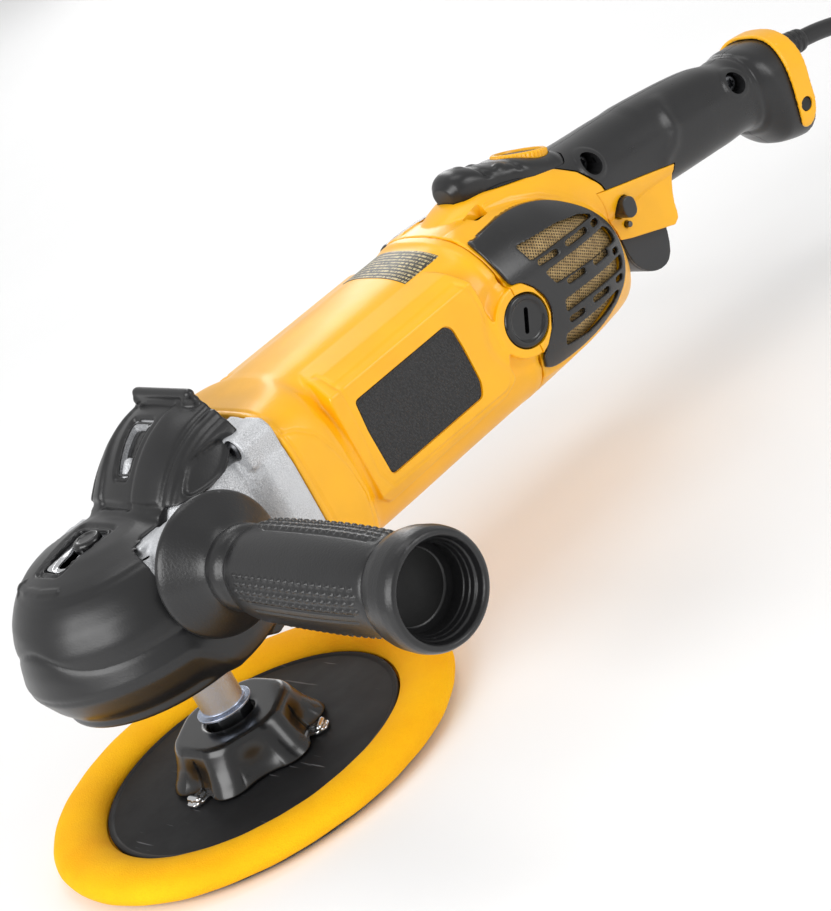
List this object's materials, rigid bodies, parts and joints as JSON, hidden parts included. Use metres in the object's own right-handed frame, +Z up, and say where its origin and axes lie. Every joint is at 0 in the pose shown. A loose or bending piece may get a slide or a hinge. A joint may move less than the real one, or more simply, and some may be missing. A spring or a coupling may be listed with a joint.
{
  "type": "rotary polisher",
  "caption": "Corded rotary polisher with a foam backing pad, geared spindle, side handle, trigger handle and speed dial.",
  "frame": {"origin": "centre of the pad's flat working face", "axes": "+Z up along the spindle, +Y along the motor towards the rear handle, +X along the side handle to the tool's left"},
  "size_m": [0.3408, 0.7894, 0.1505],
  "materials": {
    "yellow_foam": "soft closed-cell foam with a moulded skin",
    "hook_fabric": "woven hook-and-loop layer",
    "black_plastic": "fine satin moulding grain",
    "gloss_black": "polished",
    "bright_steel": "turned and plated",
    "dark_steel": "oiled and hardened",
    "cast_aluminium": "sand-cast grain",
    "black_rubber": "satin overmould",
    "copper": "wound copper and segments",
    "carbon": "pressed carbon",
    "yellow_plastic": "satin moulded nylon",
    "grey_plastic": "satin",
    "bronze_mesh": "fine woven wire",
    "cord_rubber": "smooth jacket"
  },
  "bodies": {
    "tool": {"handle_left": "black_plastic", "handle_right": "black_plastic", "side_handle_grip": "black_plastic", "side_handle_ring": "black_plastic", "switch_module": "black_plastic", "side_label_left": "black_plastic", "side_label_right": "black_plastic", "brush_cap_left": "gloss_black", "brush_cap_right": "gloss_black", "spindle_bearing": "bright_steel", "counter_bearing": "bright_steel", "motor_bearing_front": "bright_steel", "motor_bearing_rear": "bright_steel", "side_handle_stud": "bright_steel", "handle_screw_1": "bright_steel", "handle_screw_2": "bright_steel", "field_stator": "dark_steel", "case_screw_1": "dark_steel", "case_screw_2": "dark_steel", "case_screw_3": "dark_steel", "case_screw_4": "dark_steel", "gear_case": "cast_aluminium", "gear_plate": "cast_aluminium", "bearing_plate": "cast_aluminium", "gear_case_boot": "black_rubber", "dial_surround": "black_rubber", "carbon_brush_left": "carbon", "carbon_brush_right": "carbon", "motor_housing": "yellow_plastic", "rear_cap": "yellow_plastic", "end_band": "yellow_plastic", "trigger_housing": "yellow_plastic", "vent_cover_left": "grey_plastic", "vent_cover_right": "grey_plastic", "lint_screen_left": "bronze_mesh", "lint_screen_right": "bronze_mesh", "strain_relief": "cord_rubber", "cord": "cord_rubber", "cord_coil": "cord_rubber", "plug": "cord_rubber"},
    "spindle": {"hook_layer": "hook_fabric", "pad_foam": "yellow_foam", "backing_disc": "black_plastic", "clamp_hub": "gloss_black", "pad_nut": "bright_steel", "spindle_sleeve": "bright_steel", "spindle": "dark_steel", "bevel_gear": "dark_steel"},
    "countershaft": {"counter_shaft": "dark_steel", "bevel_pinion": "dark_steel", "counter_gear": "dark_steel"},
    "armature": {"armature_shaft": "bright_steel", "motor_pinion": "dark_steel", "fan": "black_plastic", "armature_core": "copper", "commutator": "copper"},
    "lock_button": {"spindle_lock_button": "bright_steel"},
    "trigger": {"trigger": "grey_plastic"},
    "lock_on": {"lock_on_button": "grey_plastic"},
    "dial": {"speed_dial": "yellow_plastic"}
  },
  "joints": [
    {"name": "spindle_spin", "type": "hinge", "parent": "tool", "child": "spindle", "pos_m": [0, 0, 0], "axis": [0, 0, 1], "continuous": true},
    {"name": "countershaft_spin", "type": "hinge", "parent": "tool", "child": "countershaft", "pos_m": [0, 0.04, 0.1194], "axis": [0, 1, 0], "continuous": true},
    {"name": "armature_spin", "type": "hinge", "parent": "tool", "child": "armature", "pos_m": [0, 0.1, 0.092], "axis": [0, 1, 0], "continuous": true},
    {"name": "spindle_lock_press", "type": "slide", "parent": "tool", "child": "lock_button", "axis": [0, 0, -1], "range_m": [0, 0.003], "stiffness_N_per_m": 800, "springref_m": -0.002},
    {"name": "trigger_pull", "type": "hinge", "parent": "tool", "child": "trigger", "pos_m": [0, 0.27, 0.077], "axis": [1, 0, 0], "range_deg": [0, 9], "stiffness_Nm_per_rad": 0.6, "springref_deg": -20.05},
    {"name": "lock_on_press", "type": "slide", "parent": "tool", "child": "lock_on", "axis": [-1, 0, 0], "range_m": [0, 0.003], "stiffness_N_per_m": 500, "springref_m": -0.002},
    {"name": "speed_dial_turn", "type": "hinge", "parent": "tool", "child": "dial", "pos_m": [0, 0.247, 0.1326], "axis": [0, 0.3616, 0.9323], "range_deg": [-140, 140]}
  ],
  "couplings": [
    {"joint": "countershaft_spin", "follows": "spindle_spin", "ratio": 3},
    {"joint": "armature_spin", "follows": "spindle_spin", "ratio": -9}
  ]
}
